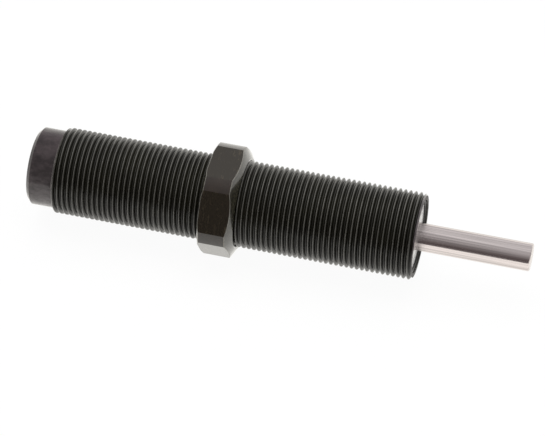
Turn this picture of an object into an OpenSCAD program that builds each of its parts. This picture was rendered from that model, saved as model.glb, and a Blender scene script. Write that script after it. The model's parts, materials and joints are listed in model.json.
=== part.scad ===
// Industrial shock absorber: threaded body, lock nut, piston rod and the hydraulic parts inside.
// The axis lies along X with the rod tip towards +X. The origin is the centre of the body's front face.
// Every sub-part is drawn along Z and laid over onto X at the end.

/* [Body] */
// outside diameter of the thread
thread_diameter = 25; // [24:0.5:28]
// distance from one thread crest to the next
thread_pitch = 1.5; // [1:0.25:2]
// length of the body from front face to rear face
body_length = 113; // [105:0.5:130]
// diameter of the plain collar at the rear
collar_diameter = 22.5; // [21.5:0.1:23]
// length of the plain collar
collar_length = 7.5; // [5:0.5:9]
// chamfer on the front end of the thread
front_chamfer = 0.75; // [0.4:0.05:0.9]
// chamfer on the rear edge of the collar
rear_chamfer = 1; // [0.4:0.1:1.5]
// wall between the thread's outside and the front mouth
mouth_wall = 1.9; // [1.8:0.05:2.2]
// thickness of the closed rear end
floor_thickness = 9; // [8:0.5:12]

/* [Lock nut] */
// size across the flats
nut_across_flats = 30; // [29:0.5:32]
// diameter that the six corners are turned to
nut_corner_diameter = 32.5; // [31:0.5:33]
// thickness of the nut
nut_thickness = 10; // [6:0.5:12]
// distance from the body's front face to the nut's front face
nut_setback = 51.25; // [45:0.25:55]
// diameter where the front chamfer meets the front face
nut_front_face = 26.4; // [26:0.1:28.5]
// diameter where the rear chamfer meets the rear face
nut_rear_face = 30.6; // [30:0.1:30.9]

/* [Piston rod] */
// diameter of the ground rod
rod_diameter = 8; // [7:0.25:9]
// length of the rod in front of the body
rod_protrusion = 32; // [28:0.5:40]
// chamfer on the rod tip
rod_tip_chamfer = 0.3; // [0.2:0.1:1.2]
// travel from fully out to fully in
stroke = 25; // [15:1:26]

/* [Gland] */
// depth of the gland's end face inside the mouth
gland_setback = 1.05; // [0.95:0.05:2]
// length of the gland
gland_length = 15; // [14:0.5:18]
// thickness of the wire of the retaining ring
ring_wire = 0.8; // [0.6:0.05:0.9]
// section of the gland's O-ring
o_ring_section = 1.48; // [1.3:0.02:1.6]

/* [Pressure tube] */
// gap for oil between the tube and the body's bore
oil_gap = 1.6; // [1.2:0.05:1.8]
// wall of the tube
tube_wall = 1.7; // [1.2:0.05:1.9]
// number of metering holes
orifice_count = 8; // [4:1:10]
// diameter of each metering hole
orifice_diameter = 1; // [0.6:0.1:1.2]
// how fast the holes close up towards the end of the stroke
orifice_progression = 1.25; // [1:0.05:1.4]
// length of the foam sleeve
foam_length = 34; // [20:1:36]

/* [Piston] */
// length of the piston from its nose to its rear face
piston_length = 12; // [11:0.5:14]
// width of the groove for the floating ring
ring_groove_width = 3; // [2.6:0.1:3.4]
// play of the floating ring along its groove
check_play = 0.5; // [0.3:0.05:0.6]

/* [Return spring] */
// thickness of the spring wire
spring_wire = 1.1; // [0.9:0.05:1.2]
// working coils between the closed end coils
spring_coils = 14; // [10:1:16]

/* [Filling port] */
// outside diameter of the grub screw
fill_screw_diameter = 6; // [5:0.5:7]
// length of the grub screw
fill_screw_length = 3.5; // [3:0.25:4]
// size across the flats of its socket
fill_socket = 3; // [2:0.5:3]

/* [Hidden] */

$fn = 96;

// clearances: between parts that only touch, between parts that slide, and round the nut's thread
seat_gap = 0.02;
running_gap = 0.03;
thread_gap = 0.05;
// gap left between parts of different groups at the ends of their travel
end_gap = 0.3;
// how far a cutting solid runs past what it cuts
past = 1;

// thread profile: 60 degree flanks, crest an eighth of the pitch wide
thread_radius = thread_diameter / 2;
thread_depth = 0.6134 * thread_pitch;
root_radius = thread_radius - thread_depth;
flank_run = thread_depth * tan(30);
crest_width = thread_pitch / 8;
groove_width = thread_pitch - crest_width;
thread_start = front_chamfer + 0.1;
collar_radius = collar_diameter / 2;
collar_step_run = 0.6;
thread_end = body_length - collar_length - collar_step_run;
groove_count = floor((thread_end - thread_start + crest_width) / thread_pitch);

// bores of the body
mouth_radius = thread_radius - mouth_wall;
bore_step = 0.3;
bore_radius = mouth_radius - bore_step;
mouth_relief = 0.65;
mouth_depth = gland_setback + gland_length + mouth_relief;
mouth_edge = 0.1;
bore_end = body_length - floor_thickness;
pilot_depth = 1;
pilot_end = bore_end + pilot_depth;

// retaining ring, half its wire in a groove of the wall and just in front of the gland's corner
ring_radius = mouth_radius;
ring_lead = 0.2;
ring_middle = gland_setback - ring_lead;
ring_split = 24;

// gland, from its front face inwards
gland_radius = mouth_radius - running_gap;
gland_rear = gland_setback + gland_length;
gland_corner = ring_radius + ring_lead - sqrt(2) * (ring_wire / 2 + seat_gap);
rod_radius = rod_diameter / 2;
rod_clear = 0.25;
rod_clear_radius = rod_radius + rod_clear;
wiper_wall = 2.4;
wiper_radius = rod_radius + wiper_wall;
bush_wall = 1;
bush_radius = rod_radius + bush_wall;
seal_wall = 2.5;
seal_radius = rod_radius + seal_wall;
front_land = 1;
wiper_front = gland_setback + front_land;
wiper_length = 2.5;
bush_land = 1;
bush_front = wiper_front + wiper_length + bush_land;
seal_pocket = 4;
seal_front = gland_rear - seal_pocket;
seal_length = 3;
washer_play = 0.05;
washer_front = seal_front + seal_length + washer_play;
o_ring_groove_depth = o_ring_section;
o_ring_room = 0.9;
o_ring_groove_width = o_ring_section + o_ring_room;
o_ring_place = 9.15;
o_ring_middle = gland_setback + o_ring_place;

// pressure tube and what stands in it
tube_outer = bore_radius - oil_gap;
tube_inner = tube_outer - tube_wall;
head_flange = 4;
head_spigot = 2;
tube_front = gland_rear + head_flange;
port_radius = 1;
port_setback = 1.6;
port_place = tube_front + head_spigot + port_setback;
spring_seat_flange = 2;
spring_seat_hub = 4;
spring_rear = pilot_end - spring_seat_flange;
foam_play = 0.1;
foam_setback = 5;
foam_rear = bore_end - foam_setback;

// piston and its ring
piston_front = tube_front + head_spigot + end_gap;
piston_rear = piston_front + piston_length;
piston_gap = 0.05;
piston_radius = tube_inner - piston_gap;
nose_step = 1.4;
nose_radius = tube_inner - nose_step;
nose_length = 3;
ring_groove_front = piston_front + nose_length + (piston_length - nose_length - ring_groove_width) / 2;
ring_groove_depth = 1.7;
ring_groove_radius = tube_inner - ring_groove_depth;
check_width = ring_groove_width - check_play - 2 * seat_gap;
check_radius = tube_inner - seat_gap;
passage_radius = 0.5;
passage_inset = 0.8;
passage_circle = tube_inner - passage_inset;
notch_width = 2;
shoulder_depth = 1;
spigot_radius = rod_radius * 0.625;
piston_nut_flats = spigot_radius * 3.2;
piston_nut_thickness = 3.5;
spigot_tail = 0.8;
spigot_end = piston_rear + piston_nut_thickness + spigot_tail;

// metering holes start behind the ring of the extended piston and end where the stroke ends
orifice_lead = 1.5;
orifice_first = ring_groove_front + ring_groove_width + orifice_lead;
orifice_rest = 2;
orifice_run = stroke - orifice_rest;

// return spring, drawn as half turns: end_cut is the angle each stops short of the next
spring_inset = 1.5;
spring_radius = tube_inner - spring_inset;
spring_play = 0.05;
spring_front = piston_rear + spring_play;
spring_span = spring_rear - seat_gap - spring_front - spring_wire;
end_coil_gap = 0.1;
end_rise = spring_wire + end_coil_gap;
coil_rise = (spring_span - 2 * end_rise) / spring_coils;
half_turns = 2 * spring_coils + 4;
end_cut = 0.3;
joint_swell = 0.025;

// filling port
port_bore_radius = 0.9;
port_bore_length = 1.3;
fill_ball_radius = 1.5;
drill_angle = 118;
fill_radius = fill_screw_diameter / 2;
drill_run = (fill_radius - port_bore_radius) / tan(drill_angle / 2);
ball_seat = pilot_end + port_bore_length;
ball_lift = 0.005;
ball_middle = ball_seat + sqrt(pow(fill_ball_radius, 2) - pow(port_bore_radius, 2)) + ball_lift;
fill_screw_front = ball_middle + fill_ball_radius + seat_gap;

// colours
blackened = [0.10, 0.10, 0.09];
nut_black = [0.20, 0.18, 0.17];
ground_steel = [0.74, 0.71, 0.70];
bright_steel = [0.86, 0.86, 0.85];
hard_steel = [0.55, 0.56, 0.58];
spring_steel = [0.42, 0.43, 0.45];
bronze = [0.62, 0.45, 0.24];
seal_rubber = [0.08, 0.08, 0.08];
seal_red = [0.50, 0.16, 0.12];
foam_grey = [0.30, 0.30, 0.32];

// lays a sub-part drawn along Z, front end up, onto the X axis
module lay() {
    rotate([0, 90, 0]) children();
}

// a ring from depth a to depth b behind the front face
module ring_between(outer, inner, a, b) {
    difference() {
        translate([0, 0, -b]) cylinder(r = outer, h = b - a);
        translate([0, 0, -b - past]) cylinder(r = inner, h = b - a + 2 * past);
    }
}

// a solid cylinder from depth a to depth b
module rod_between(radius, a, b) {
    translate([0, 0, -b]) cylinder(r = radius, h = b - a);
}

// one groove of the thread, as radius and height pairs from its front edge backwards
function groove(top) = [
    [thread_radius, top],
    [root_radius, top - flank_run],
    [root_radius, top - groove_width + flank_run],
    [thread_radius, top - groove_width]
];

module thread_outline() {
    polygon(concat(
        [[0, 0], [thread_radius - front_chamfer, 0], [thread_radius, -front_chamfer]],
        [for (i = [0 : groove_count - 1]) each groove(-thread_start - i * thread_pitch)],
        [[thread_radius, -thread_end],
            [collar_radius, -thread_end - collar_step_run],
            [collar_radius, rear_chamfer - body_length],
            [collar_radius - rear_chamfer, -body_length],
            [0, -body_length]]
    ));
}

module outer_body() {
    color(blackened) lay() difference() {
        rotate_extrude() thread_outline();
        // mouth and bore, with a small chamfer at the lip
        rod_between(mouth_radius, -past, mouth_depth);
        translate([0, 0, -mouth_edge])
            cylinder(r1 = mouth_radius, r2 = mouth_radius + mouth_edge + past, h = mouth_edge + past);
        rod_between(bore_radius, mouth_depth - past, bore_end);
        // pilot that centres the rear end of the pressure tube
        rod_between(tube_outer + seat_gap, bore_end - past, pilot_end);
        // groove of the retaining ring
        translate([0, 0, -ring_middle]) rotate_extrude()
            translate([ring_radius, 0]) circle(r = ring_wire / 2 + seat_gap);
        // filling port with its drilled seat
        rod_between(port_bore_radius, pilot_end - past, body_length);
        translate([0, 0, -ball_seat - drill_run])
            cylinder(r1 = fill_radius, r2 = port_bore_radius, h = drill_run);
        rod_between(fill_radius, ball_seat + drill_run, body_length + past);
    }
}

module lock_nut() {
    corner = nut_corner_diameter / 2;
    front_face = nut_front_face / 2;
    rear_face = nut_rear_face / 2;
    front_run = (corner - front_face) * tan(30);
    rear_run = (corner - rear_face) * tan(30);
    bore = thread_radius + thread_gap;
    lead = 0.2;
    color(nut_black) lay() translate([0, 0, -nut_setback - nut_thickness]) difference() {
        intersection() {
            rotate(30) cylinder(d = nut_across_flats / cos(30), h = nut_thickness, $fn = 6);
            rotate_extrude() polygon([[0, 0], [rear_face, 0], [corner, rear_run],
                [corner, nut_thickness - front_run], [front_face, nut_thickness], [0, nut_thickness]]);
        }
        translate([0, 0, -past]) cylinder(r = bore, h = nut_thickness + 2 * past);
        // lead-in at both faces of the thread
        translate([0, 0, -past]) cylinder(r1 = bore + lead + past, r2 = bore, h = lead + past);
        translate([0, 0, nut_thickness - lead]) cylinder(r1 = bore, r2 = bore + lead + past, h = lead + past);
    }
}

module retaining_ring() {
    color(seal_rubber) lay() translate([0, 0, -ring_middle]) rotate(ring_split / 2 - 90)
        rotate_extrude(angle = 360 - ring_split) translate([ring_radius, 0]) circle(d = ring_wire);
}

module front_gland() {
    groove_floor = gland_radius - o_ring_groove_depth;
    corner_run = gland_radius - gland_corner;
    color(bright_steel) lay() difference() {
        rotate_extrude() polygon([[0, -gland_setback], [gland_corner, -gland_setback],
            [gland_radius, -gland_setback - corner_run], [gland_radius, -gland_rear], [0, -gland_rear]]);
        ring_between(gland_radius + past, groove_floor,
            o_ring_middle - o_ring_groove_width / 2, o_ring_middle + o_ring_groove_width / 2);
        rod_between(rod_clear_radius, 0, gland_rear + past);
        rod_between(wiper_radius, wiper_front, wiper_front + wiper_length);
        rod_between(bush_radius, bush_front, seal_front + past);
        rod_between(seal_radius, seal_front, gland_rear + past);
    }
}

// scraper: the lip leans forward and meets the rod at its front edge
module rod_wiper() {
    lip = rod_radius + running_gap;
    lip_wall = 0.5;
    lip_land = 0.4;
    lip_height = 0.7;
    lip_root = 1.2;
    heel_play = 0.6;
    outer = wiper_radius - seat_gap;
    front = -wiper_front - seat_gap;
    rear = front - wiper_length + 2 * seat_gap;
    color(seal_red) lay() rotate_extrude() polygon([
        [lip, front], [lip + lip_wall, front], [lip + 2 * lip_wall, front - lip_height],
        [outer, front - lip_height], [outer, rear], [lip + heel_play, rear],
        [lip + heel_play, front - lip_root], [lip, front - lip_land]]);
}

module rod_bearing() {
    color(bronze) lay() ring_between(bush_radius - seat_gap, rod_radius + running_gap,
        bush_front + seat_gap, seal_front - seat_gap);
}

// U-cup, open towards the oil
module rod_seal() {
    lip = rod_radius + running_gap;
    lip_wall = 0.45;
    lip_land = 0.5;
    heel_play = 0.25;
    cup_depth = 1.4;
    outer = seal_radius - seat_gap;
    middle = (lip + outer) / 2;
    front = -seal_front - seat_gap;
    rear = -seal_front - seal_length;
    color(seal_rubber) lay() rotate_extrude() polygon([
        [lip + heel_play, front], [outer, front], [outer, rear], [outer - lip_wall, rear],
        [middle, rear + cup_depth], [lip + lip_wall, rear], [lip, rear], [lip, rear + lip_land],
        [lip + heel_play, rear + 2 * lip_land]]);
}

module seal_washer() {
    color(hard_steel) lay()
        ring_between(seal_radius - seat_gap, rod_clear_radius, washer_front, gland_rear - seat_gap);
}

module gland_o_ring() {
    tube = (o_ring_groove_depth + running_gap) / 2 - seat_gap / 2;
    color(seal_rubber) lay() translate([0, 0, -o_ring_middle]) rotate_extrude()
        translate([mouth_radius - seat_gap / 2 - tube, 0]) circle(r = tube);
}

// head with a spigot in the tube, notched and slotted so that oil reaches the rod and its seal
module tube_head() {
    notch_radius = 1.1;
    slot_depth = 1;
    slot_width = 1.6;
    rod_room = 0.6;
    flange_radius = bore_radius - seat_gap;
    color(hard_steel) lay() difference() {
        union() {
            rod_between(flange_radius, gland_rear + seat_gap, tube_front);
            rod_between(tube_inner - seat_gap, tube_front - seat_gap, tube_front + head_spigot);
        }
        rod_between(rod_radius + rod_room, 0, tube_front + head_spigot + past);
        for (i = [0 : 5]) rotate(60 * i) {
            translate([flange_radius, 0, 0]) rod_between(notch_radius, 0, tube_front + past);
            translate([0, -slot_width / 2, -gland_rear - slot_depth])
                cube([flange_radius, slot_width, slot_depth + past]);
        }
    }
}

// distance of metering hole i from the first one
function orifice_place(i) = orifice_run * (1 - pow(1 - i / (orifice_count - 1), orifice_progression));

module pressure_tube() {
    color(hard_steel) lay() difference() {
        ring_between(tube_outer, tube_inner, tube_front + seat_gap, pilot_end - seat_gap);
        // return ports behind the head
        for (i = [0 : 3]) rotate(45 + 90 * i) translate([0, 0, -port_place]) rotate([0, 90, 0])
            cylinder(r = port_radius, h = tube_outer + past);
        // metering holes, closer together towards the end of the stroke
        for (i = [0 : orifice_count - 1])
            translate([0, 0, -orifice_first - orifice_place(i)]) rotate([0, -90, 0])
                cylinder(d = orifice_diameter, h = tube_outer + past);
    }
}

module accumulator_foam() {
    color(foam_grey) lay()
        ring_between(bore_radius - foam_play, tube_outer + seat_gap, foam_rear - foam_length, foam_rear);
}

module piston_rod() {
    spigot_chamfer = 0.4;
    color(ground_steel) lay() rotate_extrude() polygon([
        [0, rod_protrusion], [rod_radius - rod_tip_chamfer, rod_protrusion],
        [rod_radius, rod_protrusion - rod_tip_chamfer], [rod_radius, -piston_front - shoulder_depth],
        [spigot_radius, -piston_front - shoulder_depth], [spigot_radius, spigot_chamfer - spigot_end],
        [spigot_radius - spigot_chamfer, -spigot_end], [0, -spigot_end]]);
}

module piston() {
    land_front = piston_front + nose_length;
    ring_rear = ring_groove_front + ring_groove_width;
    color(hard_steel) lay() difference() {
        union() {
            rod_between(nose_radius, piston_front, land_front + past);
            rod_between(piston_radius, land_front, piston_rear);
        }
        rod_between(rod_radius + seat_gap, 0, piston_front + shoulder_depth);
        rod_between(spigot_radius + seat_gap, 0, piston_rear + past);
        ring_between(piston_radius + past, ring_groove_radius, ring_groove_front, ring_rear);
        // oil passages from the rod side to the ring groove, and notches behind the ring
        for (i = [0 : 5]) rotate(60 * i) {
            translate([passage_circle, 0, 0])
                rod_between(passage_radius, land_front - past, ring_groove_front + 0.5);
            translate([ring_groove_radius, -notch_width / 2, -piston_rear - past])
                cube([piston_radius, notch_width, piston_rear - ring_rear + past + 0.5]);
        }
    }
}

// floating ring, shown closed against the front side of its groove
module check_ring() {
    front = ring_groove_front + seat_gap;
    color(bronze) lay() ring_between(check_radius, ring_groove_radius + 0.25, front, front + check_width);
}

module piston_nut() {
    color(hard_steel) lay() translate([0, 0, -piston_rear - piston_nut_thickness]) difference() {
        intersection() {
            cylinder(d = piston_nut_flats / cos(30), h = piston_nut_thickness, $fn = 6);
            cylinder(r1 = piston_nut_flats / 2, r2 = piston_nut_flats / 2 + piston_nut_thickness * 1.7,
                h = piston_nut_thickness);
        }
        translate([0, 0, -past])
            cylinder(r = spigot_radius + seat_gap, h = piston_nut_thickness + 2 * past);
    }
}

// how far the wire's centre has climbed after i half turns: closed end coils, open coils between
function climb(i) =
    i <= 2 ? i * end_rise / 2
    : i <= half_turns - 2 ? end_rise + (i - 2) * coil_rise / 2
    : spring_span - (half_turns - i) * end_rise / 2;

// each half turn leans so that both of its ends land in the plane through the axis, square to it,
// and a ball a little thicker than the wire joins it to the next
module return_spring() {
    wire = spring_wire / 2;
    color(spring_steel) lay() translate([0, 0, -spring_rear + seat_gap + wire])
        for (i = [0 : half_turns - 1]) {
            tilt = atan((climb(i + 1) - climb(i)) / 2 / spring_radius);
            arc_radius = spring_radius / cos(tilt);
            translate([0, 0, (climb(i) + climb(i + 1)) / 2]) rotate(180 * (i % 2)) rotate([0, tilt, 0]) {
                rotate(end_cut) rotate_extrude(angle = 180 - 2 * end_cut)
                    translate([arc_radius, 0]) circle(r = wire);
                if (i < half_turns - 1) translate([-arc_radius, 0, 0]) sphere(r = wire + joint_swell);
            }
        }
}

module spring_seat() {
    color(hard_steel) lay() difference() {
        union() {
            rod_between(tube_inner - seat_gap, spring_rear, pilot_end);
            rod_between(spring_radius - spring_wire / 2 - 0.15, spring_rear - spring_seat_hub, spring_rear);
        }
        rod_between(port_bore_radius + 0.7, 0, pilot_end + past);
    }
}

module fill_ball() {
    color(bright_steel) lay() translate([0, 0, -ball_middle]) sphere(r = fill_ball_radius);
}

module fill_screw() {
    socket_depth = fill_screw_length * 0.55;
    color(nut_black) lay() translate([0, 0, -fill_screw_front - fill_screw_length]) difference() {
        cylinder(r = fill_radius - seat_gap, h = fill_screw_length);
        translate([0, 0, -past]) cylinder(d = fill_socket / cos(30), h = socket_depth + past, $fn = 6);
    }
}

outer_body();
lock_nut();
retaining_ring();
front_gland();
rod_wiper();
rod_bearing();
rod_seal();
seal_washer();
gland_o_ring();
tube_head();
pressure_tube();
accumulator_foam();
piston_rod();
piston();
check_ring();
piston_nut();
return_spring();
spring_seat();
fill_ball();
fill_screw();
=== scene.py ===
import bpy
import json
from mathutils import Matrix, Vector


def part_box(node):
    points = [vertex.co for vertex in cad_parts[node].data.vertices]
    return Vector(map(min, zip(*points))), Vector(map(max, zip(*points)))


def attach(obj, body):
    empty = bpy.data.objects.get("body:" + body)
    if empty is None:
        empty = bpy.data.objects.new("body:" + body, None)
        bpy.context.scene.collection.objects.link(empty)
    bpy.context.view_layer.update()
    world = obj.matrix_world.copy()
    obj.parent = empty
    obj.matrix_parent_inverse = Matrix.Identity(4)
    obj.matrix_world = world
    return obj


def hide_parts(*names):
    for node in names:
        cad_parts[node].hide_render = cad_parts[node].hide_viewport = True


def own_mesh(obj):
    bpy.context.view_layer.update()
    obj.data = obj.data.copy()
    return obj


bl_info = {
    "name": "Industrial Shock Absorber",
    "version": (1, 0, 0),
    "blender": (4, 5, 0),
    "location": "View3D > Sidebar > Shock Absorber",
    "description": "Builds the dressed model of a threaded industrial shock absorber round its CAD frame",
    "category": "Object",
}

import json
import math

import bmesh
import bpy
from bpy.props import FloatProperty, FloatVectorProperty, IntProperty, PointerProperty
from mathutils import Matrix, Vector

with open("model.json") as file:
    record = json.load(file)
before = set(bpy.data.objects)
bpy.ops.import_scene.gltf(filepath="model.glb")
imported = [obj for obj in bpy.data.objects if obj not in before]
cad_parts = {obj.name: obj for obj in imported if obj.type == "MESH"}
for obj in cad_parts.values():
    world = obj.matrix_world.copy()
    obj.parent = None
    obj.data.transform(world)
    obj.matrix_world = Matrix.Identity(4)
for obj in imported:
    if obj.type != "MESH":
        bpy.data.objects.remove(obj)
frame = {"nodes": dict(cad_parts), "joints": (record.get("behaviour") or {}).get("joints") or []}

MM = 0.001
# room left round the parts that sit in the body
CLEARANCE = 0.02 * MM
# how near a point has to be to count as lying on a surface
HAIR = 0.01 * MM
# half the angle of a thread's groove, the slope of the nut's chamfers, and half the point of a drill
FLANK = math.radians(30)
NUT_CHAMFER = math.radians(30)
DRILL_POINT = math.radians(59)

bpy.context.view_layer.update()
BODY_LOW, BODY_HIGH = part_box("outer_body")
NUT_LOW, NUT_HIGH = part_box("lock_nut")
ROD_LOW, ROD_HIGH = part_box("piston_rod")
GLAND_LOW, GLAND_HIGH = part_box("front_gland")
RING_LOW, RING_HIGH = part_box("retaining_ring")
TUBE_LOW, TUBE_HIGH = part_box("pressure_tube")
SPRING_LOW, SPRING_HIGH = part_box("return_spring")
SCREW_LOW, SCREW_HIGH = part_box("fill_screw")
PISTON_LOW, PISTON_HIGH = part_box("piston")
STROKE = max(abs(v) for v in next(j for j in frame["joints"] if j["name"] == "rod_stroke")["range_m"])


def length(name, description, default):
    return FloatProperty(
        name=name,
        description=description,
        default=default,
        min=0.0,
        precision=5,
        unit="LENGTH",
        subtype="DISTANCE",
    )


def turn_of(name, description, degrees):
    return FloatProperty(name=name, description=description, default=math.radians(degrees), subtype="ANGLE")


def number_of(name, description, default, low, high):
    return IntProperty(name=name, description=description, default=default, min=low, max=high)


def colour(name, description, default):
    return FloatVectorProperty(
        name=name, description=description, default=default, size=3, min=0.0, max=1.0, subtype="COLOR"
    )


class ShockBodySizes(bpy.types.PropertyGroup):
    """Sizes of the threaded body"""

    pitch: length("Thread Pitch", "Distance from one crest to the next", 1.5 * MM)
    depth: length("Thread Depth", "Radial depth of the thread", 0.92 * MM)
    crest: length("Crest Width", "Width of the flat on the crest", 0.19 * MM)
    crest_round: length("Crest Rounding", "Rounding of the two crest edges", 0.03 * MM)
    front_chamfer: length("Front Chamfer", "Chamfer on the front end of the thread", 0.75 * MM)
    lip: length("Lip Chamfer", "Chamfer on the edge of the mouth", 0.1 * MM)
    collar_diameter: length("Collar Diameter", "Plain collar at the rear", 22.5 * MM)
    collar_length: length("Collar Length", "Length of the plain collar", 7.5 * MM)
    collar_slope: length("Collar Slope", "Length of the slope from the thread down to the collar", 0.6 * MM)
    rear_chamfer: length("Rear Chamfer", "Chamfer on the rear edge of the collar", 1 * MM)
    bore_step: length("Bore Step", "How much the bore is smaller in radius than the mouth", 0.3 * MM)
    mouth_relief: length("Mouth Relief", "Depth of the mouth behind the gland", 0.65 * MM)
    floor: length("Floor", "Thickness of the closed rear end", 9 * MM)
    port_diameter: length("Port Diameter", "Filling port behind the ball", 1.8 * MM)
    port_length: length("Port Length", "Length of the filling port", 1.3 * MM)
    thread_start: turn_of("Thread Start", "Where round the body the thread starts", 60)
    columns: number_of("Columns", "Columns of faces round the body", 96, 24, 256)


class ShockNutSizes(bpy.types.PropertyGroup):
    """Sizes of the lock nut"""

    corners: length("Across Corners", "Diameter that the corners are turned to", 32.5 * MM)
    front_face: length("Front Face", "Diameter where the front chamfer meets the face", 26.4 * MM)
    rear_face: length("Rear Face", "Diameter where the rear chamfer meets the face", 30.6 * MM)
    edge_round: length("Edge Rounding", "Rounding of the chamfer's outer edge", 0.12 * MM)
    gap: length("Thread Gap", "Gap round the body's thread", 0.05 * MM)
    lead: length("Thread Lead-in", "Chamfer at the mouth of the thread", 0.2 * MM)
    columns: number_of("Columns", "Columns in each sixth of the nut", 36, 12, 90)


class ShockRodSizes(bpy.types.PropertyGroup):
    """Sizes of the piston rod and the spring"""

    tip_chamfer: length("Tip Chamfer", "Chamfer on the rod tip", 0.3 * MM)
    tip_round: length("Tip Rounding", "Rounding of the chamfer's edges", 0.1 * MM)
    spigot_diameter: length("Spigot Diameter", "Rear end that carries the piston", 5 * MM)
    spigot_chamfer: length("Spigot Chamfer", "Chamfer on the rear end", 0.4 * MM)
    shoulder: length("Shoulder Depth", "How deep the rod sits in the piston", 1 * MM)
    spring_wire: length("Spring Wire", "Thickness of the spring wire", 1.1 * MM)
    spring_coils: FloatProperty(
        name="Spring Coils", description="Working coils of the spring", default=14.0, min=4.0, max=30.0
    )


class ShockColours(bpy.types.PropertyGroup):
    """Colours of the finishes"""

    groove: colour("Thread Groove", "Black oxide down in the thread", (0.0060, 0.0056, 0.0030))
    # painted light in part: the crests are lighter as rubbed oxide and also as a painted highlight line along
    # them
    crest: colour("Thread Crest", "Black oxide rubbed thin on the crests", (0.088, 0.085, 0.074))
    collar: colour("Collar", "Black oxide on the turned collar", (0.0215, 0.0157, 0.0170))
    # painted light: this lighter colour on the underside stands in for light thrown up by the pale floor
    collar_painted_underside_light: colour("Collar Underside", "Thinner oxide on the collar's underside", (0.112, 0.102, 0.102))
    # painted light: the front chamfer is painted lighter than the thread, standing in for the light it
    # reflects
    rim: colour("Rim", "Oxide rubbed thin on the front chamfer", (0.062, 0.054, 0.056))
    # painted highlight: the slope to the collar is painted lighter, as a bright line where the thread meets
    # the collar
    slope: colour("Slope", "Oxide rubbed thin on the slope to the collar", (0.150, 0.138, 0.132))
    front: colour("Front Face", "Oxide on the front face of the body", (0.060, 0.054, 0.054))
    # painted shade: the oxide in the mouth is painted darker than the front face, standing in for shade in
    # the recess
    mouth: colour("Mouth", "Oxide inside the mouth", (0.011, 0.010, 0.006))
    nut: colour("Nut", "Black oxide on the flats of the nut", (0.0178, 0.0142, 0.0090))
    nut_turned: colour("Nut Turned", "Black oxide on the turned corners of the nut", (0.013, 0.008, 0.005))
    nut_chamfer: colour("Nut Chamfer", "Thin oxide on the nut's chamfers and faces", (0.0135, 0.0125, 0.0078))
    worn_edge: colour("Worn Edge", "Bare metal on the sharp edges of the nut", (0.27, 0.26, 0.235))
    rod: colour("Rod", "Ground and hardened steel", (0.758, 0.694, 0.686))
    # painted reflection: near-white; on the gland, mostly matt, it paints in the bright reflection of the
    # gland's face
    bright: colour("Bright Steel", "Bright turned steel of the gland", (0.96, 0.96, 0.95))
    hard: colour("Hard Steel", "Hardened steel of the inner parts", (0.42, 0.43, 0.45))
    spring: colour("Spring Steel", "Drawn spring wire", (0.30, 0.31, 0.33))
    bronze: colour("Bronze", "Sintered bronze", (0.50, 0.31, 0.13))
    rubber: colour("Rubber", "Nitrile rubber of the seals", (0.018, 0.018, 0.018))
    wiper: colour("Wiper", "Polyurethane of the wiper", (0.30, 0.055, 0.03))
    foam: colour("Foam", "Closed-cell foam", (0.075, 0.075, 0.085))
    oxide: colour("Oxide", "Black oxide on small parts", (0.016, 0.015, 0.014))
    floor: colour("Floor", "Plain pale floor", (0.90, 0.90, 0.90))
    dark_side: colour("Dark Side", "Surroundings low down in front", (0.110, 0.093, 0.092))
    light_side: colour("Light Side", "Soft light overhead and behind", (0.74, 0.73, 0.73))
    low_side: colour("Low Side", "Pale ground as polished surfaces show it", (1.0, 0.981, 0.936))


class ShockStageSettings(bpy.types.PropertyGroup):
    """Camera, floor and light"""

    elevation: turn_of("Elevation", "Height of the camera above the axis", 47)
    yaw: turn_of("Yaw", "How far the rod end is turned to the camera", 9.2)
    roll: turn_of("Roll", "How far the axis leans down to the right", 10.63)
    distance: length("Distance", "From the camera to the aimed point", 0.82)
    aim_back: length("Aim", "Aimed point on the axis, behind the front face", 42.45 * MM)
    aim_drop: length("Drop", "How far the view's centre lies below the aimed point", 2.5 * MM)
    lens: FloatProperty(
        name="Lens", description="Focal length in millimetres", default=190.3, min=20.0, max=300.0
    )
    floor_radius: length("Floor Radius", "Where the floor's upturned rim ends", 3.0)
    rim_height: length("Rim Height", "Height of the floor's upturned rim", 0.42)
    floor_lift: FloatProperty(
        name="Floor Lift", description="How far the floor is lifted to white", default=0.955, min=0.0, max=1.0
    )
    lamp: FloatProperty(
        name="Lamp", description="Power of the soft lamp overhead, in watts", default=22.0, min=0.0
    )


def settings():
    """The sizes of the body, the nut and the rod, and the colours"""
    scene = bpy.context.scene
    return scene.shock_body, scene.shock_nut, scene.shock_rod, scene.shock_colours


# ---------------------------------------------------------------- finishes

# coordinate times scale after which a wave texture repeats
WAVE_REPEAT = 0.314


def scaled(rgb, factor):
    return tuple(min(1.0, c * factor) for c in rgb)


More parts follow.
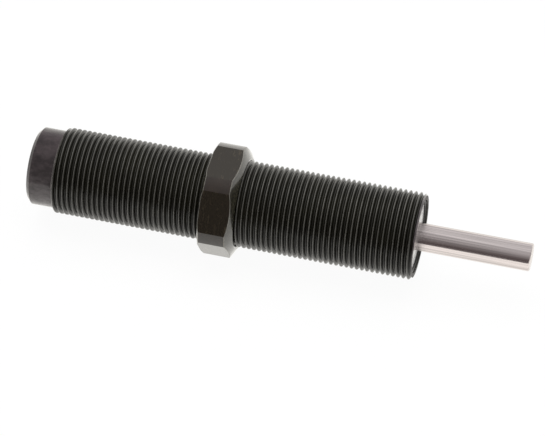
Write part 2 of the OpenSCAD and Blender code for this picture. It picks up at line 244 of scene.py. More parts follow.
class Finish:
    """A material being made: a shader, and helpers that lay variation over it in object space"""

    def __init__(self, name, base, metallic, roughness, specular=0.5):
        self.material = bpy.data.materials.new(name)
        self.material.use_nodes = True
        self.nodes = self.material.node_tree.nodes
        self.links = self.material.node_tree.links
        self.shader = self.nodes["Principled BSDF"]
        self.shader.inputs["Base Color"].default_value = (*base, 1.0)
        self.shader.inputs["Metallic"].default_value = metallic
        self.shader.inputs["Roughness"].default_value = roughness
        self.shader.inputs["Specular IOR Level"].default_value = specular
        self.coords = self.nodes.new("ShaderNodeTexCoord").outputs["Object"]
        self.normal = None

    def noise(self, scale, stretch=(1.0, 1.0, 1.0), detail=4.0, roughness=0.55):
        mapping = self.nodes.new("ShaderNodeMapping")
        mapping.inputs["Scale"].default_value = stretch
        self.links.new(self.coords, mapping.inputs["Vector"])
        texture = self.nodes.new("ShaderNodeTexNoise")
        texture.inputs["Scale"].default_value = scale
        texture.inputs["Detail"].default_value = detail
        texture.inputs["Roughness"].default_value = roughness
        self.links.new(mapping.outputs["Vector"], texture.inputs["Vector"])
        return texture.outputs["Fac"]

    def ramp(self, value, low, high, start=0.0, end=1.0):
        """Maps values from low..high smoothly onto start..end"""
        node = self.nodes.new("ShaderNodeMapRange")
        node.interpolation_type = "SMOOTHSTEP"
        node.inputs["From Min"].default_value = low
        node.inputs["From Max"].default_value = high
        node.inputs["To Min"].default_value = start
        node.inputs["To Max"].default_value = end
        self.links.new(value, node.inputs["Value"])
        return node.outputs["Result"]

    def joined(self, operation, first, second):
        node = self.nodes.new("ShaderNodeMath")
        node.operation = operation
        self.links.new(first, node.inputs[0])
        self.links.new(second, node.inputs[1])
        return node.outputs["Value"]

    def part_of_place(self, axis):
        """One coordinate of the place on the surface: X along the rod, Z upwards"""
        parts = self.nodes.new("ShaderNodeSeparateXYZ")
        self.links.new(self.coords, parts.inputs[0])
        return parts.outputs[axis]

    def from_axis(self):
        """Distance from the rod's axis"""
        flat = self.nodes.new("ShaderNodeVectorMath")
        flat.operation = "MULTIPLY"
        flat.inputs[1].default_value = (0.0, 1.0, 1.0)
        self.links.new(self.coords, flat.inputs[0])
        reach = self.nodes.new("ShaderNodeVectorMath")
        reach.operation = "LENGTH"
        self.links.new(flat.outputs["Vector"], reach.inputs[0])
        return reach.outputs["Value"]

    def turned(self, spacing, kind="BANDS", distortion=0.4):
        """Fine lathe marks: BANDS square to the axis on a round side, RINGS round it on an end face"""
        texture = self.nodes.new("ShaderNodeTexWave")
        texture.wave_type = kind
        texture.bands_direction = "X"
        texture.rings_direction = "X"
        texture.inputs["Scale"].default_value = WAVE_REPEAT / spacing
        texture.inputs["Distortion"].default_value = distortion
        texture.inputs["Detail"].default_value = 2.0
        self.links.new(self.coords, texture.inputs["Vector"])
        return texture.outputs["Fac"]

    def mix(self, factor, first, second):
        node = self.nodes.new("ShaderNodeMix")
        node.data_type = "RGBA"
        self.links.new(factor, node.inputs[0])
        for value, socket in ((first, node.inputs[6]), (second, node.inputs[7])):
            if isinstance(value, bpy.types.NodeSocket):
                self.links.new(value, socket)
            else:
                socket.default_value = (*value, 1.0)
        return node.outputs[2]

    def paint(self, value):
        self.links.new(value, self.shader.inputs["Base Color"])

    def mottled(self, base, scale, dark, light):
        """Patches between two shades of the base colour"""
        patches = self.ramp(self.noise(scale), 0.35, 0.7)
        self.paint(self.mix(patches, scaled(base, dark), scaled(base, light)))

    def uneven_gloss(self, low, high, scale, stretch=(1.0, 1.0, 1.0), detail=4.0):
        """Roughness that wanders between two values"""
        value = self.ramp(self.noise(scale, stretch, detail), 0.3, 0.7, low, min(1.0, high))
        self.links.new(value, self.shader.inputs["Roughness"])

    def oiled(self, cover, roughness=0.12):
        """A thin film of oil over the finish, everywhere or where the cover lies"""
        if isinstance(cover, bpy.types.NodeSocket):
            self.links.new(cover, self.shader.inputs["Coat Weight"])
        else:
            self.shader.inputs["Coat Weight"].default_value = cover
        self.shader.inputs["Coat IOR"].default_value = 1.36
        self.shader.inputs["Coat Roughness"].default_value = roughness

    def ground_round(self, share):
        """Fine grinding marks round the axis, which draw reflections out along it"""
        tangent = self.nodes.new("ShaderNodeTangent")
        tangent.direction_type = "RADIAL"
        tangent.axis = "X"
        self.links.new(tangent.outputs["Tangent"], self.shader.inputs["Tangent"])
        self.shader.inputs["Anisotropic"].default_value = share
        self.shader.inputs["Anisotropic Rotation"].default_value = 0.25

    def bump(self, height, depth, strength=0.5):
        node = self.nodes.new("ShaderNodeBump")
        node.inputs["Strength"].default_value = strength
        node.inputs["Distance"].default_value = depth
        self.links.new(height, node.inputs["Height"])
        if self.normal:
            self.links.new(self.normal, node.inputs["Normal"])
        self.normal = node.outputs["Normal"]
        self.links.new(self.normal, self.shader.inputs["Normal"])


def thread_finish(colours):
    made = Finish("blackened_thread", colours.groove, 0.0, 0.36, 0.5)
    size = bpy.context.scene.shock_body
    top = BODY_HIGH.y
    rear = BODY_LOW.x + size.collar_length + size.collar_slope
    # the crests are painted lighter, partly as rubbed oxide and partly as a painted highlight line along each
    # crest; the first ridge after the collar is painted lighter down its flank, as a painted highlight
    crests = made.ramp(made.from_axis(), top - 0.12 * MM, top - 0.02 * MM)
    ridge_highlight = made.ramp(made.part_of_place("X"), rear + 0.3 * MM, rear + 0.12 * MM)
    worn_and_highlight = made.joined("MAXIMUM", crests, ridge_highlight)
    patches = made.ramp(made.noise(260.0), 0.35, 0.68, 0.55, 1.0)
    stains = made.mix(made.ramp(made.noise(90.0), 0.4, 0.7), colours.groove, scaled(colours.groove, 1.7))
    made.paint(made.mix(made.joined("MULTIPLY", worn_and_highlight, patches), stains, colours.crest))
    made.oiled(worn_and_highlight, 0.2)
    made.uneven_gloss(0.26, 0.4, 700.0)
    made.bump(made.noise(3500.0), 0.006 * MM)
    return made.material


def collar_finish(colours):
    made = Finish("blackened_collar", colours.collar, 0.0, 0.24, 0.05)
    made.oiled(1.0, 0.08)
    # painted light: the underside is painted lighter, standing in for the light that the pale floor throws up
    # onto it
    radius = bpy.context.scene.shock_body.collar_diameter / 2
    floor_light_mask = made.ramp(made.part_of_place("Z"), radius * 1.15, radius * -0.45)
    tone = made.ramp(made.noise(230.0, (0.6, 1.0, 1.0), 6.0, 0.7), 0.38, 0.64)
    dark = made.mix(floor_light_mask, scaled(colours.collar, 0.75), scaled(colours.collar_painted_underside_light, 0.75))
    light = made.mix(floor_light_mask, scaled(colours.collar, 1.9), scaled(colours.collar_painted_underside_light, 1.5))
    made.paint(made.mix(tone, dark, light))
    made.uneven_gloss(0.18, 0.38, 500.0, detail=5.0)
    made.bump(made.turned(0.12 * MM), 0.003 * MM)
    made.bump(made.turned(0.3 * MM, "RINGS"), 0.004 * MM)
    made.bump(made.noise(2600.0), 0.004 * MM)
    return made.material


def painted_light_oxide_finish(name, base):
    """Black oxide painted lighter: painted light on the front chamfer, and a painted highlight on the slope
    to the collar
    """
    made = Finish(name, base, 0.0, 0.26, 0.5)
    made.oiled(1.0, 0.16)
    made.mottled(base, 420.0, 0.8, 1.6)
    made.uneven_gloss(0.2, 0.34, 900.0)
    made.bump(made.turned(0.1 * MM), 0.004 * MM)
    return made.material


def front_face_finish(colours):
    made = Finish("blackened_front_face", colours.front, 0.0, 0.5, 0.2)
    made.mottled(colours.front, 420.0, 0.8, 1.4)
    made.uneven_gloss(0.42, 0.56, 900.0)
    made.bump(made.turned(0.12 * MM, "RINGS"), 0.003 * MM)
    return made.material


def mouth_finish(colours):
    # painted shade: darker oxide in the recess of the mouth
    made = Finish("oxide_and_painted_shade_mouth", colours.mouth, 0.0, 0.45, 0.6)
    made.mottled(colours.mouth, 300.0, 1.0, 1.5)
    made.uneven_gloss(0.38, 0.55, 900.0)
    made.bump(made.turned(0.1 * MM), 0.004 * MM)
    return made.material


def nut_flat_finish(colours):
    made = Finish("blackened_nut_flats", colours.nut, 0.0, 0.15, 0.25)
    made.oiled(1.0, 0.08)
    scratches = made.ramp(made.noise(520.0, (2.4, 0.7, 0.7), 8.0, 0.7), 0.54, 0.68)
    made.paint(made.mix(scratches, colours.nut, scaled(colours.nut, 2.8)))
    made.uneven_gloss(0.1, 0.22, 800.0, (3.0, 0.6, 0.6))
    made.bump(made.noise(900.0, (5.0, 0.4, 0.4), 5.0), 0.002 * MM)
    return made.material


def nut_turned_finish(colours):
    made = Finish("blackened_nut_turned", colours.nut_turned, 0.0, 0.18, 0.5)
    made.oiled(1.0, 0.12)
    made.mottled(colours.nut_turned, 300.0, 1.0, 1.5)
    made.uneven_gloss(0.12, 0.26, 900.0)
    made.bump(made.turned(0.15 * MM), 0.002 * MM)
    return made.material


def nut_chamfer_finish(colours):
    made = Finish("blackened_nut_chamfers", colours.nut_chamfer, 0.0, 0.2, 0.8)
    made.oiled(1.0, 0.06)
    grain = made.ramp(made.noise(1900.0, (1.0, 1.0, 1.0), 3.0), 0.42, 0.68)
    made.paint(made.mix(grain, colours.nut_chamfer, scaled(colours.nut_chamfer, 3.5)))
    made.uneven_gloss(0.06, 0.24, 1500.0)
    made.bump(made.noise(2000.0), 0.009 * MM)
    return made.material


def rod_finish(colours):
    made = Finish("ground_rod", colours.rod, 1.0, 0.22)
    streaks = made.ramp(made.noise(620.0, (0.015, 1.6, 1.6), 4.0, 0.6), 0.42, 0.6)
    made.paint(made.mix(streaks, scaled(colours.rod, 0.76), scaled(colours.rod, 1.14)))
    made.uneven_gloss(0.18, 0.27, 900.0, (0.1, 2.0, 2.0), 5.0)
    made.ground_round(0.85)
    return made.material


def end_face_finish(name, base, metallic, roughness, spacing):
    """A faced end, with its tool marks round the axis"""
    made = Finish(name, base, metallic, roughness)
    marks = made.turned(spacing, "RINGS", 0.15)
    made.paint(made.mix(marks, scaled(base, 0.9), scaled(base, 1.04)))
    made.uneven_gloss(roughness * 0.85, roughness * 1.2, 1000.0)
    made.bump(marks, 0.006 * MM)
    return made.material


def machined_finish(name, base, metallic, roughness, spacing=0.12 * MM):
    """Turned metal, with fine marks on its sides and its ends"""
    made = Finish(name, base, metallic, roughness)
    made.mottled(base, 350.0, 0.85, 1.08)
    made.uneven_gloss(roughness * 0.8, roughness * 1.25, 1000.0)
    made.bump(made.turned(spacing), 0.004 * MM)
    made.bump(made.turned(spacing * 1.4, "RINGS"), 0.003 * MM)
    return made.material


def moulded_finish(name, base, roughness, grain=1500.0, depth=0.01 * MM):
    """Moulded rubber, plastic or foam, with an even grain"""
    made = Finish(name, base, 0.0, roughness, 0.4)
    made.mottled(base, grain * 0.3, 0.8, 1.25)
    made.uneven_gloss(roughness * 0.85, roughness * 1.15, grain)
    made.bump(made.noise(grain), depth, 0.7)
    return made.material


# ---------------------------------------------------------------- meshes

# the finishes of the body and of the nut, by their place in the piece's list
THREAD, COLLAR, MOUTH, RIM, FRONT, SLOPE = range(6)
FLAT, TURNED, CHAMFER, EDGE = range(4)

# points that draw one turn of the thread, and turns kept ahead of the front face and beyond the collar
TURN_POINTS = 8
LEAD_IN_TURNS = 1.5
SPARE_TURNS = 4

GROOVE_STEPS = 8
ROD_COLUMNS = 64


def on_circle(x, radius, angle):
    return Vector((x, radius * math.cos(angle), radius * math.sin(angle)))


def turn_skin(columns, material_of=None, lead=0, lead_rows=range(0)):
    """A closed skin over columns, each an angle and its (x, radius) rows.

    Over the seam, the rows in lead_rows meet the rows that lie lead places on, which closes a helix."""
    bm = bmesh.new()
    grid = [[bm.verts.new(on_circle(x, r, a)) for x, r in rows] for a, rows in columns]
    count = len(grid[0])

    def across_seam(i):
        if i not in lead_rows:
            return i
        return min(max(i + lead, lead_rows.start), lead_rows.stop - 1)

    for j, here in enumerate(grid):
        last = j + 1 == len(grid)
        there = grid[0] if last else grid[j + 1]
        for i in range(count):
            k = (i + 1) % count
            a, b = (across_seam(i), across_seam(k)) if last else (i, k)
            corners = []
            for v in (here[i], here[k], there[b], there[a]):
                if not any((v.co - c.co).length < 1e-8 for c in corners):
                    corners.append(v)
            if len(corners) > 2:
                face = bm.faces.new(corners)
                if material_of:
                    face.material_index = material_of(i)
    return bm


def skin_mesh(name, bm, crease):
    """Welds the skin, points its faces outwards and shades it smooth up to the crease angle, in degrees"""
    bmesh.ops.remove_doubles(bm, verts=bm.verts, dist=0.001 * MM)
    bmesh.ops.dissolve_degenerate(bm, edges=bm.edges, dist=0.0005 * MM)
    bmesh.ops.recalc_face_normals(bm, faces=bm.faces)
    for face in bm.faces:
        face.smooth = True
    limit = math.radians(crease)
    for edge in bm.edges:
        edge.smooth = len(edge.link_faces) == 2 and edge.calc_face_angle(0.0) < limit
    mesh = bpy.data.meshes.new(name)
    bm.to_mesh(mesh)
    bm.free()
    return mesh


def new_piece(name, mesh, materials, slot, body, *nodes):
    piece = bpy.data.objects.new(name, mesh)
    bpy.context.collection.objects.link(piece)
    for material in materials:
        mesh.materials.append(material)
    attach(piece, body)
    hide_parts(*nodes)
    return piece


def line_gap(point, line):
    """How far a point lies above a line, given as a point on it and its slope"""
    (x, r), slope = line
    return point[1] - (r + slope * (point[0] - x))


def crossing(p, q, line):
    """Where the way from p to q crosses the line"""
    gap_p, gap_q = line_gap(p, line), line_gap(q, line)
    t = min(max(gap_p / (gap_p - gap_q), 0.0), 1.0) if gap_p != gap_q else 0.0
    return (p[0] + t * (q[0] - p[0]), p[1] + t * (q[1] - p[1]))


def thread_rows(size, angle):
    """The threaded outside at one angle, as (x, radius) from the front face back to the collar's slope"""
    top = BODY_HIGH.y
    root = top - size.depth
    half = size.crest / 2
    run = size.depth * math.tan(FLANK)
    cut = size.crest_round
    fall, back = cut * math.cos(FLANK), cut * math.sin(FLANK)
    turn = [
        (half + run, root),
        (half + back, top - fall),
        (half - cut, top),
        (0.0, top),
        (cut - half, top),
        (-half - back, top - fall),
        (-half - run, root),
        (-size.pitch / 2, root),
    ]
    thread_end = BODY_LOW.x + size.collar_length + size.collar_slope
    collar = size.collar_diameter / 2
    front = ((0.0, top - size.front_chamfer), -1.0)
    rear = ((thread_end, top), (top - collar) / size.collar_slope)
    turns = math.ceil(-thread_end / size.pitch) + SPARE_TURNS
    start = size.pitch * (LEAD_IN_TURNS + (angle + size.thread_start) / math.tau)
    rows = []
    for k in range(turns):
        group = [(start - k * size.pitch + dx, r) for dx, r in turn]
        # where the front chamfer cuts a crest, its points move down its own flanks
        cut_ahead = line_gap(group[1], front) > 0.0
        cut_behind = line_gap(group[5], front) > 0.0
        kink = (-size.front_chamfer, top)
        if cut_ahead:
            rise = crossing(group[0], group[1], front)
            if cut_behind:
                drop = crossing(group[6], group[5], front)
                centre = ((rise[0] + drop[0]) / 2, (rise[1] + drop[1]) / 2)
                group[1:6] = [rise, rise, centre, drop, drop]
            else:
                group[1:4] = [rise, rise, kink]
                group[4] = min(group[4], kink)
        rows += group
    # everything ahead of the front face is drawn back onto it
    first = next(i for i, p in enumerate(rows) if p[0] < 0.0)
    p, q = rows[first - 1], rows[first]
    t = p[0] / (p[0] - q[0])
    rows[:first] = [(0.0, p[1] + t * (q[1] - p[1]))] * first
    # everything beyond the slope down to the collar is drawn onto its first crossing with the thread
    last = next(i for i, p in enumerate(rows) if p[0] < thread_end + size.pitch and line_gap(p, rear) > 0.0)
    rows[last:] = [crossing(rows[last - 1], rows[last], rear)] * (len(rows) - last)
    return rows


def body_columns(size):
    """The whole section of the body at each angle, and where its thread and its outside end"""
    collar = size.collar_diameter / 2
    rear = BODY_LOW.x
    wire = (RING_HIGH.x - RING_LOW.x) / 2
    ring_x, mouth = (RING_HIGH.x + RING_LOW.x) / 2, RING_HIGH.y - wire
    seat = wire + CLEARANCE
    bore = mouth - size.bore_step
    mouth_end = GLAND_LOW.x - size.mouth_relief
    bore_end = rear + size.floor
    pilot = TUBE_HIGH.y + CLEARANCE
    pilot_end = TUBE_LOW.x - CLEARANCE
    port = size.port_diameter / 2
    port_end = pilot_end - size.port_length
    hole = SCREW_HIGH.y + CLEARANCE
    drill_end = port_end - (hole - port) / math.tan(DRILL_POINT)
    collar_rows = [
        (rear + size.collar_length, collar),
        (rear + size.rear_chamfer, collar),
        (rear, collar - size.rear_chamfer),
    ]
    inside = [
        (rear, hole),
        (drill_end, hole),
        (port_end, port),
        (pilot_end, port),
        (pilot_end, pilot),
        (bore_end, pilot),
        (bore_end, bore),
        (mouth_end, bore),
        (mouth_end, mouth),
    ]
    for i in range(GROOVE_STEPS + 1):
        turn = math.pi * i / GROOVE_STEPS
        inside.append((ring_x - seat * math.cos(turn), mouth + seat * math.sin(turn)))
    inside += [(-size.lip, mouth), (0.0, mouth + size.lip)]
    columns = []
    for j in range(size.columns):
        angle = math.tau * j / size.columns
        columns.append((angle, thread_rows(size, angle) + collar_rows + inside))
    threads = len(columns[0][1]) - len(collar_rows) - len(inside)
    return columns, threads, threads + len(collar_rows)


class SHOCK_OT_threaded_body(bpy.types.Operator):
    """Make the body with its right-hand thread, plain collar, mouth and bores"""

    bl_idname = "shock.threaded_body"
    bl_label = "Threaded Body"

    def execute(self, context):
        size, _, _, colours = settings()
        columns, threads, outside = body_columns(size)
        total = len(columns[0][1])

        def material_of(i):
            if i < threads - 1:
                return THREAD
            if i == threads - 1:
                return SLOPE
            if i == total - 1:
                return FRONT
            return COLLAR if i < outside else MOUTH

        bm = turn_skin(columns, material_of, -TURN_POINTS, range(0, threads))
        mesh = skin_mesh("threaded_body", bm, 40.0)
        # the front chamfer runs through the first crests
        cone = BODY_HIGH.x + BODY_HIGH.y - size.front_chamfer - HAIR
        for face in mesh.polygons:
            points = [mesh.vertices[v].co for v in face.vertices]
            if min(p.x + math.hypot(p.y, p.z) for p in points) > cone:
                face.material_index = RIM
        finishes = [
            thread_finish(colours),
            collar_finish(colours),
            mouth_finish(colours),
            # painted light on the front chamfer
            painted_light_oxide_finish("painted_light_rim", colours.rim),
            front_face_finish(colours),
            # painted highlight on the slope to the collar
            painted_light_oxide_finish("painted_highlight_slope", colours.slope),
        ]
        new_piece("threaded_body", mesh, finishes, "blackened_steel", "barrel", "outer_body")
        return {"FINISHED"}


def nut_columns(size):
    """Section of the nut at each angle: front bore, face, chamfer, side and back again"""
    flat = (NUT_HIGH.z - NUT_LOW.z) / 2
    corner = size.corners / 2
    slope = math.tan(NUT_CHAMFER)
    bore = BODY_HIGH.y + size.gap
    soft = size.edge_round
    front, rear = NUT_HIGH.x, NUT_LOW.x
    # each sixth is flat up to the angle band from its middle, and turned from there to the corner
    band = math.acos(flat / corner)
    half = math.radians(30)
    n = size.columns // 2
    steps = [band * i / n for i in range(n)] + [band + (half - band) * i / (n // 2) for i in range(n // 2)]
    turn = sorted({round(s, 9) for s in steps + [2 * half - s for s in steps[1:]] + [half]})
    columns = []
    for sixth in range(6):
        for t in turn:
            away = min(t, 2 * half - t)
            reach = min(flat / math.cos(away), corner)
            sides = []
            for face in (size.front_face / 2, size.rear_face / 2):
                # where the flat is lower than the face's rim, the face runs out to the flat;
                # the factors of soft place the points of the rounded edges
                rim = min(face, reach - soft)
                edge = max((reach - face) * slope, soft * 0.6)
                sides.append(
                    [
                        (size.lead, bore),
                        (0.0, bore + size.lead),
                        (0.0, rim - soft * 0.4),
                        (soft * 0.15, rim + soft * 0.25),
                        (edge - soft * 0.5, reach - soft * 0.87),
                        (edge, reach - soft * 0.28),
                        (edge + soft, reach),
                    ]
                )
            ahead = [(front - depth, r) for depth, r in sides[0]]
            behind = [(rear + depth, r) for depth, r in reversed(sides[1])]
            columns.append((math.radians(90 + 60 * sixth) + t, ahead + behind))
    return columns


class SHOCK_OT_lock_nut(bpy.types.Operator):
    """Make the thin hexagon lock nut with its turned corners and chamfered faces"""

    bl_idname = "shock.lock_nut"
    bl_label = "Lock Nut"

    def execute(self, context):
        _, size, _, colours = settings()
        columns = nut_columns(size)
        side = len(columns[0][1]) // 2 - 1
        edges = (side - 2, side - 1, side + 1, side + 2)
        bm = turn_skin(columns, lambda i: FLAT if i == side else EDGE if i in edges else CHAMFER)
        mesh = skin_mesh("lock_nut_turned", bm, 12.0)
        corner = size.corners / 2 - HAIR
        for face in mesh.polygons:
            reach = min(math.hypot(mesh.vertices[v].co.y, mesh.vertices[v].co.z) for v in face.vertices)
            if face.material_index == FLAT and reach > corner:
                face.material_index = TURNED
        edge = machined_finish("worn_edges", colours.worn_edge, 0.6, 0.3, 0.4 * MM)
        finishes = [nut_flat_finish(colours), nut_turned_finish(colours), nut_chamfer_finish(colours), edge]
        new_piece("hexagon_lock_nut", mesh, finishes, "blackened_nut", "nut", "lock_nut")
        return {"FINISHED"}


def rounded(points, reach, steps=4):
    """Rounds each inner corner of a line of (x, radius) points, as far as reach to either side of it"""
    made = [points[0]]
    for before, corner, after in zip(points, points[1:], points[2:]):
        a, b, c = Vector(before), Vector(corner), Vector(after)
        near = b + (a - b).normalized() * min(reach, (a - b).length * 0.45)
        far = b + (c - b).normalized() * min(reach, (c - b).length * 0.45)
        for i in range(steps + 1):
            t = i / steps
            made.append(tuple(near * (1 - t) ** 2 + b * 2 * t * (1 - t) + far * t**2))
    return made + [points[-1]]


class SHOCK_OT_piston_rod(bpy.types.Operator):
    """Make the ground piston rod with its chamfered tip"""

    bl_idname = "shock.piston_rod"
    bl_label = "Piston Rod"

    def execute(self, context):
        _, _, size, colours = settings()
        tip, tail, radius = ROD_HIGH.x, ROD_LOW.x, ROD_HIGH.y
        spigot = size.spigot_diameter / 2
        shoulder = PISTON_HIGH.x - size.shoulder
        outline = rounded(
            [
                (tip, 0.0),
                (tip, radius - size.tip_chamfer),
                (tip - size.tip_chamfer, radius),
                (tip - STROKE, radius),
            ],
            size.tip_round,
        )
        outline += [
            (shoulder, radius),
            (shoulder, spigot),
            (tail + size.spigot_chamfer, spigot),
            (tail, spigot - size.spigot_chamfer),
            (tail, 0.0),
        ]
        columns = [(math.tau * j / ROD_COLUMNS, outline) for j in range(ROD_COLUMNS)]
        ends = (0, len(outline) - 2)
        mesh = skin_mesh("ground_rod", turn_skin(columns, lambda i: int(i in ends)), 30.0)
        finishes = [
            rod_finish(colours),
            # painted reflection: the rod's colour is raised 1.12 times on the faced ends, standing in for the
            # white floor they reflect
            end_face_finish("faced_rod_end", scaled(colours.rod, 1.12), 1.0, 0.22, 0.2 * MM),
        ]
        new_piece("ground_piston_rod", mesh, finishes, "ground_steel", "rod", "piston_rod")
        return {"FINISHED"}


class SHOCK_OT_return_spring(bpy.types.Operator):
    """Wind the return spring, with closed end coils"""

    bl_idname = "shock.return_spring"
    bl_label = "Return Spring"

    def execute(self, context):
        _, _, size, colours = settings()
        wire = size.spring_wire / 2
        middle = SPRING_HIGH.y - wire
        low, high = SPRING_LOW.x + wire, SPRING_HIGH.x - wire
        # the closed end coils lie a little more than a wire apart
        closed = size.spring_wire * 1.09
        open_rise = (high - low - 2 * closed) / size.spring_coils
        steps, sides = 24, 10
        turns = size.spring_coils + 2
        bm = bmesh.new()
        rings = []
        for i in range(round(turns * steps) + 1):
            turn = i / steps
            if turn < 1:
                x, rise = low + closed * turn, closed
            elif turn < turns - 1:
                x, rise = low + closed + open_rise * (turn - 1), open_rise
            else:
                x, rise = high - closed * (turns - turn), closed
            angle = math.tau * turn
            centre = on_circle(x, middle, angle)
            along = Vector((rise / math.tau, -middle * math.sin(angle), middle * math.cos(angle)))
            along.normalize()
            outward = on_circle(0.0, 1.0, angle)
            across = along.cross(outward)
            ring = []
            for k in range(sides):
                spin = math.tau * k / sides
                away = outward * math.cos(spin) + across * math.sin(spin)
                ring.append(bm.verts.new(centre + away * wire))
            rings.append(ring)
        for here, there in zip(rings, rings[1:]):
            for k in range(sides):
                bm.faces.new((here[k], here[(k + 1) % sides], there[(k + 1) % sides], there[k]))
        bm.faces.new(rings[0])
        bm.faces.new(reversed(rings[-1]))
        mesh = skin_mesh("spring_wire", bm, 50.0)
        finish = machined_finish("drawn_spring_wire", colours.spring, 1.0, 0.32)
        piece = new_piece("wound_return_spring", mesh, [finish], "spring_steel", "barrel", "return_spring")
        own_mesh(piece)
        return {"FINISHED"}


class SHOCK_OT_inner_parts(bpy.types.Operator):
    """Give the gland, its ring and seals, the piston group, the tube and the filling parts their finishes"""

    bl_idname = "shock.inner_parts"
    bl_label = "Gland and Inner Parts"

    def execute(self, context):
        colours = context.scene.shock_colours
        hard = machined_finish("hardened_steel", colours.hard, 1.0, 0.3)
        rubber = moulded_finish("nitrile_rubber", colours.rubber, 0.5)
        oxide = machined_finish("blackened_small_parts", colours.oxide, 0.0, 0.4)
        finishes = {
            # painted reflection: the gland's face is painted near-white and mostly matt, standing in for the
            # bright surroundings it reflects
            "front_gland": end_face_finish("turned_gland", colours.bright, 0.35, 0.35, 0.3 * MM),
            "retaining_ring": machined_finish("oiled_ring_wire", colours.oxide, 0.0, 0.16),
            "rod_wiper": moulded_finish("polyurethane", colours.wiper, 0.42),
            "rod_bearing": machined_finish("sintered_bronze", colours.bronze, 1.0, 0.42),
            "rod_seal": rubber,
            "gland_o_ring": rubber,
            "seal_washer": hard,
            "tube_head": hard,
            "pressure_tube": hard,
            "accumulator_foam": moulded_finish("closed_cell_foam", colours.foam, 0.85, 2200.0, 0.05 * MM),
            "piston": hard,
            "check_ring": machined_finish("hardened_ring", scaled(colours.hard, 0.8), 1.0, 0.25),
            "piston_nut": oxide,
            "spring_seat": hard,
            "fill_ball": machined_finish("polished_ball", colours.bright, 1.0, 0.12, 0.3 * MM),
            "fill_screw": oxide,
        }
        for node, finish in finishes.items():
            mesh = frame["nodes"][node].data
            mesh.materials.clear()
            mesh.materials.append(finish)
        return {"FINISHED"}


# ---------------------------------------------------------------- stage

LAMP_PLACE = Vector((-0.2, 0.35, 1.4))
LAMP_SIZE = 1.6
# the light's rise from low in front to high behind, and the fall of the ground's edge towards the front
LIGHT_TILT = math.radians(45)
HORIZON_FALL = math.radians(10)
HORIZON_BLUR = 0.03
# share of the light side at places along that rise
LIGHT_STOPS = ((0.27, 0.0), (0.41, 0.16), (0.55, 0.33), (0.69, 0.50), (0.81, 0.77), (0.91, 1.0), (1.0, 0.95))


def floor_finish(stage, colours):
    """Pale floor, lifted most of the way to white where it is looked at, so that a soft shadow stays"""
    material = bpy.data.materials.new("pale_floor")
    material.use_nodes = True
    nodes, links = material.node_tree.nodes, material.node_tree.links
    nodes.clear()
    out = nodes.new("ShaderNodeOutputMaterial")
    matt = nodes.new("ShaderNodeBsdfDiffuse")
    matt.inputs["Color"].default_value = (*colours.floor, 1.0)
    white = nodes.new("ShaderNodeEmission")
    white.inputs["Color"].default_value = (1.0, 1.0, 1.0, 1.0)
    white.inputs["Strength"].default_value = 1.0
    path = nodes.new("ShaderNodeLightPath")
    seen = path.outputs["Is Camera Ray"]
    for ray in ("Is Glossy Ray", "Is Transmission Ray"):
        either = nodes.new("ShaderNodeMath")
        either.operation = "MAXIMUM"
        links.new(seen, either.inputs[0])
        links.new(path.outputs[ray], either.inputs[1])
        seen = either.outputs["Value"]
    lift = nodes.new("ShaderNodeMath")
    lift.operation = "MULTIPLY"
    lift.inputs[1].default_value = stage.floor_lift
    links.new(seen, lift.inputs[0])
    mix = nodes.new("ShaderNodeMixShader")
    links.new(lift.outputs["Value"], mix.inputs["Fac"])
    links.new(matt.outputs["BSDF"], mix.inputs[1])
    links.new(white.outputs["Emission"], mix.inputs[2])
    links.new(mix.outputs["Shader"], out.inputs["Surface"])
    return material


def make_floor(stage, colours):
    """A round floor at the foot of the nut, whose far rim turns up a little"""
    bm = bmesh.new()
    level = NUT_LOW.z
    inner = stage.floor_radius * 0.6
    steps = 8
    profile = [(inner, level)]
    for i in range(1, steps + 1):
        t = i / steps
        profile.append((inner + (stage.floor_radius - inner) * t, level + stage.rim_height * t * t))
    sides = 96
    rings = []
    for r, z in profile:
        turns = [math.tau * k / sides for k in range(sides)]
        rings.append([bm.verts.new((r * math.cos(a), r * math.sin(a), z)) for a in turns])
    bm.faces.new(rings[0])
    for here, there in zip(rings, rings[1:]):
        for k in range(sides):
            bm.faces.new((here[k], here[(k + 1) % sides], there[(k + 1) % sides], there[k]))
    bmesh.ops.recalc_face_normals(bm, faces=bm.faces)
    mesh = bpy.data.meshes.new("floor")
    bm.to_mesh(mesh)
    bm.free()
    mesh.shade_smooth()
    floor = bpy.data.objects.new("floor", mesh)
    bpy.context.collection.objects.link(floor)
    floor.visible_glossy = False
    mesh.materials.append(floor_finish(stage, colours))


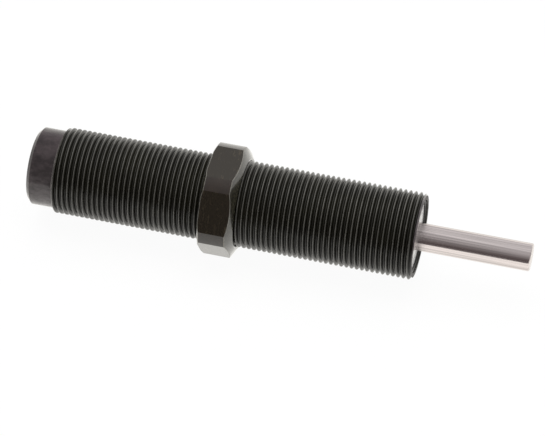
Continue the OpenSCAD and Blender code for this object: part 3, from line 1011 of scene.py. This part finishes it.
def make_surroundings(colours):
    """Soft light all round: dark low down in front, rising to light overhead and behind"""
    world = bpy.data.worlds.new("surroundings")
    bpy.context.scene.world = world
    world.use_nodes = True
    nodes, links = world.node_tree.nodes, world.node_tree.links
    background = nodes["Background"]
    background.inputs["Strength"].default_value = 1.0
    direction = nodes.new("ShaderNodeTexCoord").outputs["Generated"]
    tilt = nodes.new("ShaderNodeVectorMath")
    tilt.operation = "DOT_PRODUCT"
    tilt.inputs[1].default_value = (0.0, math.sin(LIGHT_TILT), math.cos(LIGHT_TILT))
    links.new(direction, tilt.inputs[0])
    place = nodes.new("ShaderNodeMapRange")
    place.inputs["From Min"].default_value = -1.0
    place.inputs["From Max"].default_value = 1.0
    links.new(tilt.outputs["Value"], place.inputs["Value"])
    ramp = nodes.new("ShaderNodeValToRGB")
    ramp.color_ramp.interpolation = "LINEAR"
    dark, light = Vector(colours.dark_side), Vector(colours.light_side)
    elements = ramp.color_ramp.elements
    while len(elements) < len(LIGHT_STOPS):
        elements.new(0.5)
    for element, (position, share) in zip(elements, LIGHT_STOPS):
        element.position = position
        element.color = (*dark.lerp(light, share), 1.0)
    links.new(place.outputs["Result"], ramp.inputs["Fac"])
    # below the horizon lies the pale floor, as polished surfaces see it
    depth = nodes.new("ShaderNodeVectorMath")
    depth.operation = "DOT_PRODUCT"
    depth.inputs[1].default_value = (0.0, -math.sin(HORIZON_FALL), math.cos(HORIZON_FALL))
    links.new(direction, depth.inputs[0])
    below = nodes.new("ShaderNodeMapRange")
    below.interpolation_type = "SMOOTHSTEP"
    below.inputs["From Min"].default_value = HORIZON_BLUR
    below.inputs["From Max"].default_value = -HORIZON_BLUR
    links.new(depth.outputs["Value"], below.inputs["Value"])
    horizon = nodes.new("ShaderNodeMix")
    horizon.data_type = "RGBA"
    links.new(below.outputs["Result"], horizon.inputs[0])
    links.new(ramp.outputs["Color"], horizon.inputs[6])
    horizon.inputs[7].default_value = (*colours.low_side, 1.0)
    links.new(horizon.outputs[2], background.inputs["Color"])


class SHOCK_OT_stage(bpy.types.Operator):
    """Set the floor, soft light and camera"""

    bl_idname = "shock.stage"
    bl_label = "Floor, Light and Camera"

    def execute(self, context):
        scene = context.scene
        stage, colours = scene.shock_stage, scene.shock_colours
        scene.view_settings.view_transform = "Standard"
        make_floor(stage, colours)
        make_surroundings(colours)

        lamp = bpy.data.lights.new("soft_lamp", "AREA")
        lamp.shape = "DISK"
        lamp.size = LAMP_SIZE
        lamp.energy = stage.lamp
        lamp_object = bpy.data.objects.new("soft_lamp", lamp)
        context.collection.objects.link(lamp_object)
        lamp_object.location = LAMP_PLACE
        lamp_object.rotation_euler = (-LAMP_PLACE).to_track_quat("-Z", "Y").to_euler()
        lamp_object.visible_glossy = False
        lamp_object.visible_camera = False

        rise, yaw, roll = stage.elevation, stage.yaw, stage.roll
        towards = Vector((0, -math.cos(rise), math.sin(rise)))
        up = Vector((0, math.sin(rise), math.cos(rise)))
        right = Vector((math.cos(yaw), 0, 0)) - towards * math.sin(yaw)
        back = Vector((math.sin(yaw), 0, 0)) + towards * math.cos(yaw)
        right_rolled = right * math.cos(roll) + up * math.sin(roll)
        up_rolled = up * math.cos(roll) - right * math.sin(roll)
        camera = bpy.data.cameras.new("camera")
        camera.sensor_width = 36.0
        camera.lens = stage.lens
        camera.clip_start, camera.clip_end = 0.01, 20.0
        camera_object = bpy.data.objects.new("camera", camera)
        context.collection.objects.link(camera_object)
        aim = Vector((BODY_HIGH.x - stage.aim_back, 0, 0)) - up * stage.aim_drop
        turn = Matrix([right_rolled, up_rolled, back]).transposed().to_4x4()
        camera_object.matrix_world = Matrix.Translation(aim + back * stage.distance) @ turn
        scene.camera = camera_object
        return {"FINISHED"}


class SHOCK_PT_panel(bpy.types.Panel):
    """The sizes, colours and settings, and the pieces in the order in which they are made"""

    bl_idname = "SHOCK_PT_panel"
    bl_label = "Shock Absorber"
    bl_space_type = "VIEW_3D"
    bl_region_type = "UI"
    bl_category = "Shock Absorber"

    def draw(self, context):
        for name, group in GROUPS.items():
            box = self.layout.box()
            box.label(text=group.__doc__)
            for field in group.__annotations__:
                box.prop(getattr(context.scene, name), field)
        for operator in OPERATORS:
            self.layout.operator(operator.bl_idname)


GROUPS = {
    "shock_body": ShockBodySizes,
    "shock_nut": ShockNutSizes,
    "shock_rod": ShockRodSizes,
    "shock_colours": ShockColours,
    "shock_stage": ShockStageSettings,
}
OPERATORS = (
    SHOCK_OT_threaded_body,
    SHOCK_OT_lock_nut,
    SHOCK_OT_piston_rod,
    SHOCK_OT_return_spring,
    SHOCK_OT_inner_parts,
    SHOCK_OT_stage,
)


def register():
    for name, group in GROUPS.items():
        bpy.utils.register_class(group)
        setattr(bpy.types.Scene, name, PointerProperty(type=group))
    for operator in OPERATORS:
        bpy.utils.register_class(operator)
    bpy.utils.register_class(SHOCK_PT_panel)


def unregister():
    bpy.utils.unregister_class(SHOCK_PT_panel)
    for operator in reversed(OPERATORS):
        bpy.utils.unregister_class(operator)
    for name, group in reversed(GROUPS.items()):
        delattr(bpy.types.Scene, name)
        bpy.utils.unregister_class(group)


def main():
    register()
    bpy.ops.shock.threaded_body()
    bpy.ops.shock.lock_nut()
    bpy.ops.shock.piston_rod()
    bpy.ops.shock.return_spring()
    bpy.ops.shock.inner_parts()
    bpy.ops.shock.stage()


if __name__ == "__main__":
    main()
